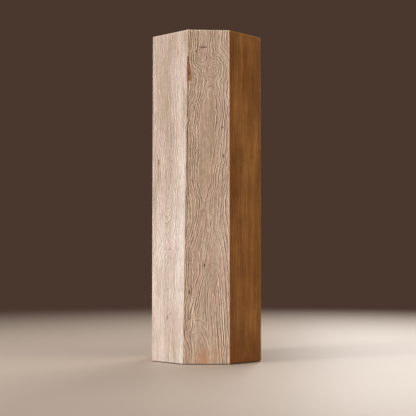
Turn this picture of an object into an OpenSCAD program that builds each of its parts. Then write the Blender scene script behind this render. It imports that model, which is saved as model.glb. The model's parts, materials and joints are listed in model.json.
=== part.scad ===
// Octagonal timber display plinth: a coopered column of eight mitred staves
// around three plywood ribs, an inset top panel, and a screwed base panel that
// carries the ballast and four levelling feet.
// Millimetres. +Z is up, -Y is the front. The origin is on the floor, at the
// middle of the column.

/* [Column] */
// Width of the octagon across opposite flats
across_flats = 300; // [300:2:330]
// Height from the floor to the display face
height = 900; // [700:10:1100]
// Thickness of each stave
stave_t = 28; // [25:1:29]
// Gap under the staves, which stand on the feet
floor_gap = 2; // [1:0.5:4]
// How far the front-left arris stands out to the left at the floor
arris_out = 1.5; // [0:0.5:3]
// How far the front-left arris leans to the right at the display face
arris_in = 11.3; // [0:0.1:12]
// Flat planed along each long arris, measured towards the axis
arris_ease = 0.8; // [0.4:0.1:1.5]
// Chamfer round the rim of the display face
rim_chamfer = 2; // [1:0.5:3]
// Chamfer round the foot of the column
foot_chamfer = 1.5; // [1:0.5:3]

/* [Top panel] */
// Thickness of the inset top panel
top_t = 20; // [18:1:24]
// Width of stave end grain left showing round the top panel
rim_w = 16; // [15:0.5:18]
// Movement gap between the top panel and the staves
top_gap = 0.5; // [0.3:0.1:1]

/* [Ribs and base] */
// Thickness of the plywood ribs and base panel
ply_t = 18; // [15:1:18]
// Depth that each rib is let into the staves
dado = 5; // [4:0.5:6]
// Height of the base panel's underside above the floor
recess = 22; // [21:1:24]
// Radius of the hole in the top and middle ribs
rib_hole_r = 84; // [60:1:90]
// Radius of the steel ballast disc
ballast_r = 84; // [60:1:86]
// Thickness of the steel ballast disc
ballast_t = 22; // [12:1:30]

/* [Mitre tongues] */
// Thickness of the loose tongue in each mitre
tongue_t = 4; // [3:0.5:5]
// Width of the tongue, half in each stave
tongue_w = 12; // [10:1:14]
// Distance from the arris to the middle of the tongue
tongue_in = 15; // [14:0.5:16]

/* [Levelling feet] */
// Distance of each foot from the axis of the column
foot_ring_r = 104; // [100:1:104]
// Radius of the foot pad
pad_r = 15; // [12:0.5:16]
// How far the hexagon for the spanner stands above the floor
foot_hex_z = 12.5; // [12:0.5:13]

/* [Hidden] */
$fn = 64;

oak_brushed = [0.70, 0.57, 0.48];
oak_pale = [0.81, 0.71, 0.64];
oak_warm = [0.48, 0.30, 0.16];
ply = [0.82, 0.70, 0.52];
steel = [0.62, 0.63, 0.65];
iron = [0.20, 0.21, 0.22];
nylon = [0.08, 0.08, 0.08];
rubber = [0.16, 0.16, 0.16];

A = across_flats / 2;              // outer apothem
B = A - stave_t;                   // inner apothem
T = tan(22.5);
corner_r = A / cos(22.5);          // axis to a long arris
lean = (arris_in + arris_out) / height;

rib_a = B + dado;                  // apothem of the ribs
panel_a = A - rim_w;               // apothem of the rebate for the top panel
z_top = height - top_t;            // underside of the top panel
z_rib_top = z_top - ply_t;
z_rib_mid = (height - ply_t) / 2;
z_rib_low = recess + ply_t;        // the bottom rib stands on the base panel
tongue_z0 = z_rib_low;
tongue_z1 = z_rib_top - 12;

screw_ring_r = 112;
screw_r = 2;
stud_r = 4;
bolt_ring_r = 52;
bolt_r = 4;

// the two long arrises that the front-left facet leans away from
arris_f = [-A * T - arris_out, -A, 0];
arris_l = [-A, -A * T - arris_out, 0];

// everything on one side of a plane through p: the plane's normal points to
// azimuth az and leans by tilt, and side 1 is the side the normal points to
module beyond(p, az, tilt = 0, side = 1) {
    translate(p) rotate([0, 0, az]) rotate([0, tilt, 0])
        translate([side > 0 ? 0 : -400, -400, -60]) cube([400, 800, height + 120]);
}

module octagon(apothem, z0, h) {
    translate([0, 0, z0]) rotate([0, 0, 22.5])
        cylinder(r = apothem / cos(22.5), h = h, $fn = 8);
}

module hex(af, h) {
    cylinder(r = af / 2 / cos(30), h = h, $fn = 6);
}

module ring_of(n, r, first = 0) {
    for (i = [0:n - 1]) rotate([0, 0, first + i * 360 / n]) translate([r, 0, 0]) children();
}

// ---- mitre tongues: 1 joins the front and front-right staves, and the rest
// follow anticlockwise seen from above, so 8 joins front-left to front

module tongue_bar(n) {
    az = -67.5 + 45 * (n - 1);
    if (n < 7)
        rotate([0, 0, az])
            translate([corner_r - tongue_in - tongue_t / 2, -tongue_w / 2, tongue_z0])
                cube([tongue_t, tongue_w, tongue_z1 - tongue_z0]);
    else {
        // runs parallel to its leaning arris
        along = n == 8 ? 1 : -1;
        ay = -atan(lean * sin(22.5));
        ax = -atan(along * lean * cos(22.5) * cos(ay));
        translate(n == 8 ? arris_f : arris_l) rotate([0, 0, az]) rotate([ax, ay, 0])
            translate([-tongue_in - tongue_t / 2, -tongue_w / 2, tongue_z0])
                cube([tongue_t, tongue_w, tongue_z1 - tongue_z0]);
    }
}

module mitre_tongue(n) {
    color(ply) tongue_bar(n);
}

// ---- staves

// board with mitred edges, in its own azimuth; lo and hi leave extra width on
// an edge that a leaning mitre then cuts
module board(az, lo = 0, hi = 0, proud = 0) {
    rotate([0, 0, az]) translate([0, 0, floor_gap]) linear_extrude(height - floor_gap)
        polygon([[B, -B * T - lo], [A + proud, -(A + proud) * T - lo],
                 [A + proud, (A + proud) * T + hi], [B, B * T + hi]]);
}

module edge_chamfer(az, apothem, z, c) {
    rotate([0, 0, az]) translate([apothem, 0, z]) rotate([0, 45, 0])
        cube([c * sqrt(2), 300, c * sqrt(2)], center = true);
}

module eased_arris(n) {
    az = -67.5 + 45 * (n - 1);
    tilt = n < 7 ? 0 : -atan(lean * sin(22.5));
    at = n < 7 ? [corner_r * cos(az), corner_r * sin(az), 0] : n == 8 ? arris_f : arris_l;
    beyond(at - arris_ease * [cos(az), sin(az), 0], az, tilt);
}

// i counts the staves anticlockwise from the front one, 0, seen from above
module stave(i, tone) {
    az = -90 + 45 * i;
    first = i == 0 ? 8 : i;
    a_top = i == 7 ? A - arris_in / sqrt(2) : A;
    a_low = i == 7 ? A + arris_out / sqrt(2) : A;
    mitre_tilt = atan(lean * cos(22.5));
    color(tone) difference() {
        board(az, lo = i == 0 || i == 7 ? 16 : 0, hi = i == 6 || i == 7 ? 16 : 0,
              proud = i == 7 ? 6 : 0);
        // leaning facet and mitres
        if (i == 0) beyond(arris_f, -22.5, mitre_tilt, -1);
        if (i == 6) beyond(arris_l, 112.5, mitre_tilt, -1);
        if (i == 7) {
            beyond(arris_f, -22.5, mitre_tilt);
            beyond(arris_l, 112.5, mitre_tilt);
            beyond(arris_f, 225, -atan(lean * sin(45)));
        }
        // rib housings and top rebate
        for (z = [z_rib_low, z_rib_mid, z_rib_top]) octagon(rib_a, z, ply_t);
        octagon(panel_a, z_top, top_t + 1);
        // tongue grooves
        tongue_bar(first);
        tongue_bar(i + 1);
        // eased edges
        eased_arris(first);
        eased_arris(i + 1);
        edge_chamfer(az, a_top, height, rim_chamfer);
        edge_chamfer(az, a_low, floor_gap, foot_chamfer);
    }
}

// ---- ribs and panels

module screw_hole(z, h, r) {
    translate([0, 0, z]) cylinder(r = r, h = h);
}

module plain_rib(z) {
    difference() {
        octagon(rib_a, z, ply_t);
        translate([0, 0, z - 1]) cylinder(r = rib_hole_r, h = ply_t + 2, $fn = 96);
    }
}

module top_rib() {
    color(ply) difference() {
        plain_rib(z_rib_top);
        ring_of(8, screw_ring_r, 22.5) {
            screw_hole(z_rib_top - 1, ply_t + 2, screw_r + 0.3);
            translate([0, 0, z_rib_top - 0.01]) cylinder(r1 = 4.31, r2 = screw_r + 0.3, h = 2.4);
        }
    }
}

module middle_rib() {
    color(ply) plain_rib(z_rib_mid);
}

module bottom_rib() {
    color(ply) difference() {
        octagon(rib_a, z_rib_low, ply_t);
        translate([0, 0, z_rib_low - 1]) cylinder(r = ballast_r + 2, h = ply_t + 2, $fn = 96);
        ring_of(4, foot_ring_r, 45) screw_hole(z_rib_low - 1, ply_t + 2, 7);
        ring_of(8, screw_ring_r, 22.5) screw_hole(z_rib_low - 1, ply_t - 1, screw_r + 0.02);
    }
}

module top_panel() {
    color(oak_pale) difference() {
        octagon(panel_a - top_gap, z_top, top_t);
        ring_of(8, screw_ring_r, 22.5) screw_hole(z_top - 1, 13, screw_r + 0.02);
    }
}

module base_panel() {
    color(ply) difference() {
        octagon(B - 0.5, recess, ply_t);
        ring_of(8, screw_ring_r, 22.5) {
            screw_hole(recess - 1, ply_t + 2, screw_r + 0.3);
            translate([0, 0, recess - 0.01]) cylinder(r1 = 4.31, r2 = screw_r + 0.3, h = 2.4);
        }
        ring_of(4, bolt_ring_r) screw_hole(recess - 1, ply_t + 2, bolt_r + 0.5);
        ring_of(4, foot_ring_r, 45) {
            screw_hole(recess - 1, ply_t + 2, 5.05);
            translate([0, 0, recess - 1]) cylinder(r = 11.1, h = 2.5);
            tee_nut_prongs();
        }
    }
}

// ---- fasteners

// countersunk wood screw, head down at z = 0 and point up
module wood_screw(len) {
    difference() {
        union() {
            cylinder(r1 = 4, r2 = screw_r, h = 2.2);
            cylinder(r = screw_r, h = len - 3);
            translate([0, 0, len - 3]) cylinder(r1 = screw_r, r2 = 0.3, h = 3);
        }
        for (a = [0, 90]) rotate([0, 0, a]) translate([-1.8, -0.4, -0.5]) cube([3.6, 0.8, 1.9]);
    }
}

module top_panel_screws() {
    color(steel) translate([0, 0, z_rib_top]) ring_of(8, screw_ring_r, 22.5) wood_screw(ply_t + 11);
}

module base_panel_screws() {
    color(steel) translate([0, 0, recess]) ring_of(8, screw_ring_r, 22.5) wood_screw(2 * ply_t - 3);
}

module ballast_disc() {
    color(iron) difference() {
        translate([0, 0, z_rib_low]) cylinder(r = ballast_r, h = ballast_t, $fn = 96);
        ring_of(4, bolt_ring_r) screw_hole(z_rib_low - 1, ballast_t + 2, bolt_r + 0.5);
    }
}

bolt_z = recess - 1.6;             // underside of the bolt heads' washers
nut_z = z_rib_low + ballast_t + 1.6;

module ballast_bolts() {
    color(steel) ring_of(4, bolt_ring_r) {
        translate([0, 0, bolt_z - 5.3]) hex(13, 5.3);
        translate([0, 0, bolt_z]) cylinder(r = bolt_r, h = nut_z + 9 - bolt_z);
    }
}

module ballast_washers() {
    color(steel) ring_of(4, bolt_ring_r)
        for (z = [bolt_z, nut_z - 1.6]) translate([0, 0, z]) difference() {
            cylinder(r = 8.5, h = 1.6);
            translate([0, 0, -1]) cylinder(r = bolt_r + 0.2, h = 4);
        }
}

module ballast_nuts() {
    color(steel) ring_of(4, bolt_ring_r) translate([0, 0, nut_z]) difference() {
        hex(13, 6.5);
        translate([0, 0, -1]) cylinder(r = bolt_r + 0.05, h = 9);
    }
}

// ---- levelling feet

module tee_nut_prongs() {
    for (a = [45:90:315]) rotate([0, 0, a]) translate([8.6, -1.6, recess + 1]) cube([1.2, 3.2, 7.5]);
}

module foot_tee_nuts() {
    color(steel) ring_of(4, foot_ring_r, 45) difference() {
        union() {
            translate([0, 0, recess]) cylinder(r = 11, h = 1.5);
            translate([0, 0, recess]) cylinder(r = 5, h = 11);
            tee_nut_prongs();
        }
        translate([0, 0, recess - 1]) cylinder(r = stud_r + 0.05, h = 13);
    }
}

module foot_lock_nuts() {
    color(steel) ring_of(4, foot_ring_r, 45) translate([0, 0, recess - 4]) difference() {
        hex(13, 4);
        translate([0, 0, -1]) cylinder(r = stud_r + 0.05, h = 6);
    }
}

ball_z = 8;

module at_foot(az) {
    rotate([0, 0, az]) translate([foot_ring_r, 0, 0]) children();
}

module foot_pad(az) {
    color(nylon) at_foot(az) difference() {
        union() {
            translate([0, 0, 2]) cylinder(r = pad_r, h = 3);
            translate([0, 0, 5]) cylinder(r1 = pad_r, r2 = 8.5, h = 5.5);
        }
        translate([0, 0, ball_z]) sphere(r = 5.3);
    }
}

module foot_sole(az) {
    color(rubber) at_foot(az) difference() {
        cylinder(r = pad_r, h = 2);
        translate([0, 0, -1]) difference() {
            cylinder(r = pad_r - 4, h = 1.6);
            translate([0, 0, -1]) cylinder(r = pad_r - 6, h = 4);
        }
    }
}

module foot_stud(az) {
    color(steel) at_foot(az) {
        translate([0, 0, ball_z]) sphere(r = 5);
        translate([0, 0, ball_z]) cylinder(r = 3, h = 6);
        translate([0, 0, foot_hex_z]) hex(13, 4);
        translate([0, 0, foot_hex_z]) cylinder(r = stud_r, h = 38.5);
    }
}

// ---- output

stave(0, oak_brushed);  // stave_front
stave(1, oak_warm);  // stave_front_right
stave(2, oak_warm);  // stave_right
stave(3, oak_brushed);  // stave_back_right
stave(4, oak_pale);  // stave_back
stave(5, oak_brushed);  // stave_back_left
stave(6, oak_pale);  // stave_left
stave(7, oak_pale);  // stave_front_left
mitre_tongue(1);  // mitre_tongue_1
mitre_tongue(2);  // mitre_tongue_2
mitre_tongue(3);  // mitre_tongue_3
mitre_tongue(4);  // mitre_tongue_4
mitre_tongue(5);  // mitre_tongue_5
mitre_tongue(6);  // mitre_tongue_6
mitre_tongue(7);  // mitre_tongue_7
mitre_tongue(8);  // mitre_tongue_8
top_rib();
middle_rib();
bottom_rib();
top_panel();
base_panel();
top_panel_screws();
base_panel_screws();
ballast_disc();
ballast_bolts();
ballast_washers();
ballast_nuts();
foot_tee_nuts();
foot_lock_nuts();
foot_pad(225);  // foot_pad_front_left
foot_pad(315);  // foot_pad_front_right
foot_pad(45);  // foot_pad_back_right
foot_pad(135);  // foot_pad_back_left
foot_sole(225);  // foot_sole_front_left
foot_sole(315);  // foot_sole_front_right
foot_sole(45);  // foot_sole_back_right
foot_sole(135);  // foot_sole_back_left
foot_stud(225);  // foot_stud_front_left
foot_stud(315);  // foot_stud_front_right
foot_stud(45);  // foot_stud_back_right
foot_stud(135);  // foot_stud_back_left
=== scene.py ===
import json
import math

import bpy
import numpy as np
from mathutils import Matrix, Vector


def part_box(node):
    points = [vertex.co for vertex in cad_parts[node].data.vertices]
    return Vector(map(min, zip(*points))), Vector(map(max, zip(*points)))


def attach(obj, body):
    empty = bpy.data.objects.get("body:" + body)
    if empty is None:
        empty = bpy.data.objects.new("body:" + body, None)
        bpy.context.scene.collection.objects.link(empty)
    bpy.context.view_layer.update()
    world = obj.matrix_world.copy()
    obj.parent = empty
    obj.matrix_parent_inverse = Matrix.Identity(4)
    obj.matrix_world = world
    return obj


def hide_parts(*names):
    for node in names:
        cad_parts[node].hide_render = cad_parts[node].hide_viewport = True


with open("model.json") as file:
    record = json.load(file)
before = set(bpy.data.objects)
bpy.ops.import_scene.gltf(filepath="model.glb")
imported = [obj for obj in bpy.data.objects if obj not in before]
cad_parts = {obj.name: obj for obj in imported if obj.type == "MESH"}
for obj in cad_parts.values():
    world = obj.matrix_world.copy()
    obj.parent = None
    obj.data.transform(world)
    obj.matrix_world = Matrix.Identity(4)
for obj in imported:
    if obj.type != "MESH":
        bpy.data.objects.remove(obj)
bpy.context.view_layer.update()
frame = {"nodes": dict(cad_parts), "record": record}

NODES = frame["nodes"]

# ---------------------------------------------------------------- camera

cam_data = bpy.data.cameras.new("camera")
cam_data.sensor_width = 36.0
cam_data.lens = 87.3
cam = bpy.data.objects.new("camera", cam_data)
cam.location = (0.0041, -2.8503, 0.2849)
cam.rotation_euler = (math.radians(90 + 2.811), 0, 0)
bpy.context.scene.collection.objects.link(cam)
bpy.context.scene.camera = cam

# ---------------------------------------------------------------- the column's numbers, in millimetres, from the CAD boxes


def box_mm(node):
    lo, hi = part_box(node)
    return np.array(lo) * 1000, np.array(hi) * 1000


T = math.tan(math.radians(22.5))
C = math.cos(math.radians(22.5))
_lo, _hi = box_mm("stave_back")
A = float(_hi[1])            # outer apothem
B = float(_lo[1])            # inner apothem
Z0, Z1 = float(_lo[2]), float(_hi[2])
_lo, _hi = box_mm("top_panel")
Z_TOP = float(_lo[2])        # underside of the top panel
PANEL_A = float(_hi[0])      # apothem of the top panel
RIM_A = PANEL_A + 0.5        # apothem of its rebate
RIBS = []
for _n in ("bottom_rib", "middle_rib", "top_rib"):
    _lo, _hi = box_mm(_n)
    RIBS.append((float(_lo[2]), float(_hi[2])))
RIB_A = float(_hi[0])
_lo, _hi = box_mm("mitre_tongue_1")
TONGUE_Z = (float(_lo[2]), float(_hi[2]))
TONGUE_IN, TONGUE_T, TONGUE_W = 15.0, 4.0, 12.0
OUT, IN = 1.5, 11.3          # how far the front-left arris stands out at the floor, and in at the top
LEAN = (OUT + IN) / Z1


def corner_azimuth(k):
    return math.radians(-67.5 + 45 * (k - 1))


def arris(k, z):
    """The outer corner line k before easing: x and y at height z."""
    z = np.asarray(z, float)
    if k == 8:
        return -A * T - OUT + LEAN * z, np.full_like(z, -A)
    if k == 7:
        return np.full_like(z, -A), -A * T - OUT + LEAN * z
    a = corner_azimuth(k)
    return np.full_like(z, A / C * math.cos(a)), np.full_like(z, A / C * math.sin(a))


# ---------------------------------------------------------------- noise

_tables = {}


def noise(x, y, seed):
    """Gradient noise, about -1 to 1."""
    if seed not in _tables:
        angle = np.random.RandomState(seed).rand(256, 256) * 2 * np.pi
        _tables[seed] = np.cos(angle), np.sin(angle)
    gx, gy = _tables[seed]
    x, y = np.broadcast_arrays(np.asarray(x, float) + 37.3, np.asarray(y, float) + 91.7)
    xi, yi = np.floor(x).astype(int), np.floor(y).astype(int)
    fx, fy = x - xi, y - yi
    ux, uy = fx ** 3 * (fx * (fx * 6 - 15) + 10), fy ** 3 * (fy * (fy * 6 - 15) + 10)

    def dot(i, j):
        a, b = (xi + i) & 255, (yi + j) & 255
        return gx[a, b] * (fx - i) + gy[a, b] * (fy - j)

    low = dot(0, 0) * (1 - ux) + dot(1, 0) * ux
    high = dot(0, 1) * (1 - ux) + dot(1, 1) * ux
    return (low * (1 - uy) + high * uy) * 1.5


def fbm(x, y, seed, octaves=4, gain=0.5):
    total, amp = 0.0, 1.0
    for o in range(octaves):
        total = total + amp * noise(x * 2 ** o, y * 2 ** o, seed + 101 * o)
        amp *= gain
    return total


def out_of_level(x, z):
    """The top was cut a little out of square: it falls from left to right."""
    return -0.0165 * x * np.clip((z - Z_TOP) / (Z1 - Z_TOP), 0, 1)


def smooth(x, lo, hi):
    t = np.clip((x - lo) / (hi - lo), 0, 1)
    return t * t * (3 - 2 * t)


def through(z, points):
    """A smooth line through (z, value) points, flat at each end."""
    zs, vs = np.array(points, float).T
    fine = np.linspace(-60, 1000, 1061)
    line = np.interp(fine, zs, vs)
    kernel = np.hanning(15)
    line = np.convolve(np.pad(line, 7, mode="edge"), kernel / kernel.sum(), mode="valid")
    return np.interp(z, fine, line)


# ---------------------------------------------------------------- boards: growth rings cut by the face

# Each board has a few plain patches where the face runs along a growth ring; the rings' edges show as lines round them.
# A patch is a list of (height, centre, half width) and how much longer than wide its tips are.

SMOOTH = dict(patches=[([(-80, -12, 8), (1000, 6, 10)], 4.0)], ring_w=6.5, warp=(5.0, 1.6, 0.5), relief=0.22, fine=0.03,
              knots=[], pits=[], calm=[(0, 1.0), (900, 1.0)], seed=11)


def board(**changes):
    return {**SMOOTH, **changes}


BOARDS = {
    # brushed, plain sawn
    "stave_front": board(
        patches=[
            ([(829, -9, 9), (842, -8, 12), (862, -8, 10), (980, -3, 11)], 1.5),
            ([(790, 17, 12.5)], 1.55),
            ([(438, -5, 3), (470, -5, 12), (520, -3, 16), (580, 4, 21.5), (640, 5, 23), (700, 9, 18), (728, 13, 10)], 1.9),
            ([(128, -45, 1), (205, -35, 5), (242, -28, 10), (300, -26, 11), (340, -15, 9), (392, -6, 4)], 4.2),
            ([(-70, -12, 17), (30, -14, 16), (66, -20, 11)], 1.8),
            ([(-60, 24, 8), (170, 20, 5)], 5.0),
        ],
        ring_w=7.3, warp=(4.0, 2.6, 1.5), relief=1.65, fine=0.19, calm=[(0, 0.62), (360, 0.62), (500, 1.0), (900, 1.0)],
        knots=[(-5, 264, 2.6, 4.0), (-46, 192, 2.8, 5.0), (11, 375, 1.6, 2.6)],
        pits=[(-27, 841, 1.9, 3.8), (44, 635, 1.9, 2.6), (47, 558, 1.5, 5.0), (-33, 690, 1.0, 2.2), (-8, 852.5, 11.5, 1.9)],
        seed=3,
    ),
    # paler and planed smooth
    "stave_front_left": board(
        patches=[([(470, -6, 5), (560, -4, 12), (760, -14, 14), (1000, -22, 10)], 3.6), ([(215, 4, 8), (250, 2, 9)], 2.0), ([(-80, 14, 8), (120, 10, 6)], 3.4)],
        ring_w=7.4, warp=(7.0, 2.6, 1.0), relief=0.60, fine=0.05,
        knots=[(-41, 548, 3.1, 9.0), (0, 123, 2.2, 6.2), (33, 844, 1.6, 6.5)], seed=21,
    ),
    # smooth; its warm brown is partly the wood's own tone and partly painted shade, this board's colour in shade under
    # warm bounce light
    "stave_front_right": board(
        patches=[([(-80, 8, 12), (300, 16, 14), (520, 22, 8)], 4.5), ([(640, -18, 6), (760, -14, 12), (1000, -4, 10)], 4.0)],
        ring_w=9.5, warp=(8.0, 2.4, 0.5), relief=0.12, fine=0.03, knots=[(-37, 560, 1.6, 3.0)], seed=31,
    ),
    "stave_right": board(patches=[([(-80, -16, 9), (380, -8, 14), (560, -4, 5)], 4.0), ([(700, 10, 10), (1000, 16, 12)], 3.5)],
                         ring_w=8.0, relief=0.20, seed=41, knots=[(22, 300, 3.0, 6.0)]),
    "stave_back_right": board(patches=[([(-80, 6, 10), (180, 2, 14), (330, -4, 5)], 3.0), ([(520, -10, 14)], 2.0), ([(700, 6, 8), (1000, 8, 14)], 3.0)],
                              ring_w=6.4, relief=0.85, warp=(5.0, 2.3, 0.9), fine=0.08, seed=51, knots=[(30, 620, 3.0, 5.0)], pits=[(-30, 200, 1.2, 3.0)]),
    "stave_back": board(patches=[([(-80, 10, 10), (430, 6, 13), (600, 0, 5)], 4.0), ([(760, -12, 12), (1000, -14, 10)], 3.0)],
                        ring_w=7.5, relief=0.30, fine=0.04, seed=61, knots=[(-26, 420, 2.6, 5.5)]),
    "stave_back_left": board(patches=[([(-80, -14, 8), (120, -12, 10)], 3.0), ([(250, 12, 15)], 1.8), ([(420, -6, 8), (600, 0, 18), (760, 4, 10)], 3.0)],
                             ring_w=6.4, relief=0.85, warp=(5.0, 2.4, 0.9), fine=0.08, seed=71, pits=[(33, 520, 1.3, 3.0)]),
    "stave_left": board(patches=[([(-80, 20, 12), (300, 16, 8)], 4.0), ([(520, -8, 10), (1000, -16, 12)], 4.0)],
                        ring_w=8.0, relief=0.28, fine=0.04, seed=81, knots=[(-34, 700, 2.2, 5.0)]),
}


def grain(p, s, z, below=0.0):
    """Growth rings at (s, z) on a board's face, or below millimetres under it: how the brush left it (ridge, groove), and what the shader reads."""
    seed = p["seed"]
    w0, w1, w2 = p["warp"]
    calm = through(z, p["calm"])
    sw = s + w0 * noise(z / 190, s / 90, seed) + calm * (w1 * fbm(z / 44, s / 20, seed + 1, 2) + w2 * noise(z / 15, s / 7, seed + 2))
    zw = z + 7 * noise(z / 60, s / 26, seed + 3)
    w = p["ring_w"]
    total = 0.0
    for line, e in p["patches"]:
        zs = [q[0] for q in line]
        zc = np.clip(zw, zs[0], zs[-1])
        c = through(zc, [(q[0], q[1]) for q in line]) if len(line) > 1 else line[0][1]
        half = through(zc, [(q[0], q[2]) for q in line]) if len(line) > 1 else line[0][2]
        far = np.sqrt((sw - c) ** 2 + ((zw - zc) / e) ** 2 + (below * 0.8) ** 2) - half
        total = total + np.exp(-np.clip(far, -60, 160) / 1.7)
    rings = -1.7 * np.log(total + 1e-42)
    knot = np.zeros_like(rings)
    for ks, kz, ka, kb in p["knots"]:
        e = np.sqrt(((s - ks) / ka) ** 2 + ((z - kz) / kb) ** 2) + 0.18 * noise(z / 3, s / 2, seed + 9)
        knot = np.maximum(knot, smooth(-e, -1.25, -0.75))
        rings = rings + 1.6 * ka * np.exp(-(e / 2.8) ** 2)
    rings = rings + 1.2 * np.sin(rings / 4.3 + seed) + 0.32 * noise(z / 30, s / 8, seed + 15) + 0.7 * noise(z / 85, s / 30, seed + 5)
    gs = np.gradient(rings, axis=1) / np.maximum(np.abs(np.gradient(s, axis=1)), 1e-3)
    gz = np.gradient(rings, axis=0) / np.maximum(np.abs(np.gradient(z, axis=0)), 1e-3) if np.ptp(z) > 50 else 0 * gs
    steep = np.clip(np.hypot(gs, gz), 0.16, 2.5)
    ph = rings / w
    which = np.round(ph)
    off = (ph - which) * w / steep                     # millimetres from the ring's edge, outwards
    vary = 1.0 + 0.30 * np.sin(which * 2.4 + seed)
    fade = np.clip(0.74 + 0.62 * fbm(z / 62, s / 9 + which * 3.1, seed + 6, 3), 0.10, 1.30)
    plain = 0.05 + 0.95 * smooth(rings, -0.42 * w, -0.12 * w)
    ridge = np.exp(-(((off + 1.15) / (1.15 * vary)) ** 2)) * fade * plain
    groove = np.exp(-(((off - 1.05) / (0.95 * vary)) ** 2)) * fade * plain
    # a weaker line between each two
    ph2 = ph + 0.5 + 0.12 * noise(z / 50, s / 20, seed + 7)
    off2 = (ph2 - np.round(ph2)) * w / steep
    soft = np.clip(0.16 + 0.95 * noise(z / 48, s / 8, seed + 10), 0, 1) * plain
    fine_groove = np.exp(-((off2 / 0.75) ** 2)) * soft
    fibre = noise(z / 11, s / 1.5, seed + 8) + 0.6 * noise(z / 4.5, s / 0.95, seed + 12)
    return dict(rings=rings, cut=groove, ridge=ridge, cut2=fine_groove, fibre=fibre, knot=knot)


def columns(width, step):
    edge = np.array([0, 0.4, 0.8, 1.25, 1.75, 2.4, 3.2, 4.0])
    n = int(round((width - 8) / step))
    mid = np.linspace(4.0, width - 4.0, n + 1)[1:-1]
    return np.concatenate([edge, mid, width - edge[::-1]]) / width


# wear along each arris, shared by the two staves that meet there

def arris_radius(k, z):
    return 3.4 + 1.2 * noise(z / 60, k * 7.3, 900 + k) + 0.7 * noise(z / 14, k * 3.1, 930 + k)


CHIPS = {   # arris: (height, half length, depth), each a knock or a lost sliver
    8: [(797, 37, 2.5), (846, 6, 0.8), (655, 9, 0.5), (480, 14, 0.6), (300, 7, 0.7), (118, 10, 0.5)],
    1: [(846, 6, 0.6), (705, 10, 0.4), (520, 6, 0.5), (231, 9, 0.6), (64, 7, 0.7)],
    2: [(760, 8, 0.5), (410, 10, 0.6), (90, 8, 0.6)],
    3: [(620, 12, 0.7), (240, 7, 0.5)],
    4: [(810, 9, 0.6), (350, 12, 0.6)],
    5: [(540, 9, 0.6), (160, 8, 0.7)],
    6: [(700, 10, 0.5), (300, 8, 0.6)],
    7: [(830, 9, 0.6), (560, 8, 0.5), (206, 10, 0.6)],
}


def arris_loss(k, z):
    """Millimetres lost on arris k at height z, besides the easing."""
    loss = 0.12 * np.abs(noise(z / 9, 1.5, 960 + k))
    for cz, half, deep in CHIPS[k]:
        e = (z - cz) / half
        ragged = 1 + 0.28 * noise(z / 5.5, cz, 970 + k) + 0.22 * noise(z / 17, cz, 975 + k)
        loss = loss + deep * np.clip(1 - np.abs(e) ** (7 if deep > 2 else 2.6), 0, 1) * ragged
    return np.maximum(loss, 0)


# ---------------------------------------------------------------- meshes


def make_object(name, verts_mm, faces, mats, face_mat, attrs, sharp=50):
    mesh = bpy.data.meshes.new(name)
    loops = np.concatenate([np.asarray(f) for f in faces]).astype(np.int32) if isinstance(faces, list) else faces
    mesh.vertices.add(len(verts_mm))
    mesh.vertices.foreach_set("co", (verts_mm / 1000).astype(np.float32).ravel())
    sizes = np.array([len(f) for f in faces], np.int32)
    mesh.loops.add(int(sizes.sum()))
    mesh.loops.foreach_set("vertex_index", loops)
    mesh.polygons.add(len(sizes))
    mesh.polygons.foreach_set("loop_start", np.concatenate([[0], np.cumsum(sizes)[:-1]]).astype(np.int32))
    mesh.polygons.foreach_set("material_index", np.asarray(face_mat, np.int32))
    mesh.update(calc_edges=True)
    if mesh.validate(verbose=False):
        print("repaired", name)
    for key, values in attrs.items():
        a = mesh.attributes.new(key, "FLOAT", "POINT")
        a.data.foreach_set("value", np.asarray(values, np.float32).ravel())
    for m in mats:
        mesh.materials.append(m)
    mesh.shade_smooth()
    mesh.set_sharp_from_angle(angle=math.radians(sharp))
    ob = bpy.data.objects.new(name, mesh)
    bpy.context.scene.collection.objects.link(ob)
    return ob


STAVES = ["stave_front", "stave_front_right", "stave_right", "stave_back_right",
          "stave_back", "stave_back_left", "stave_left", "stave_front_left"]


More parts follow.
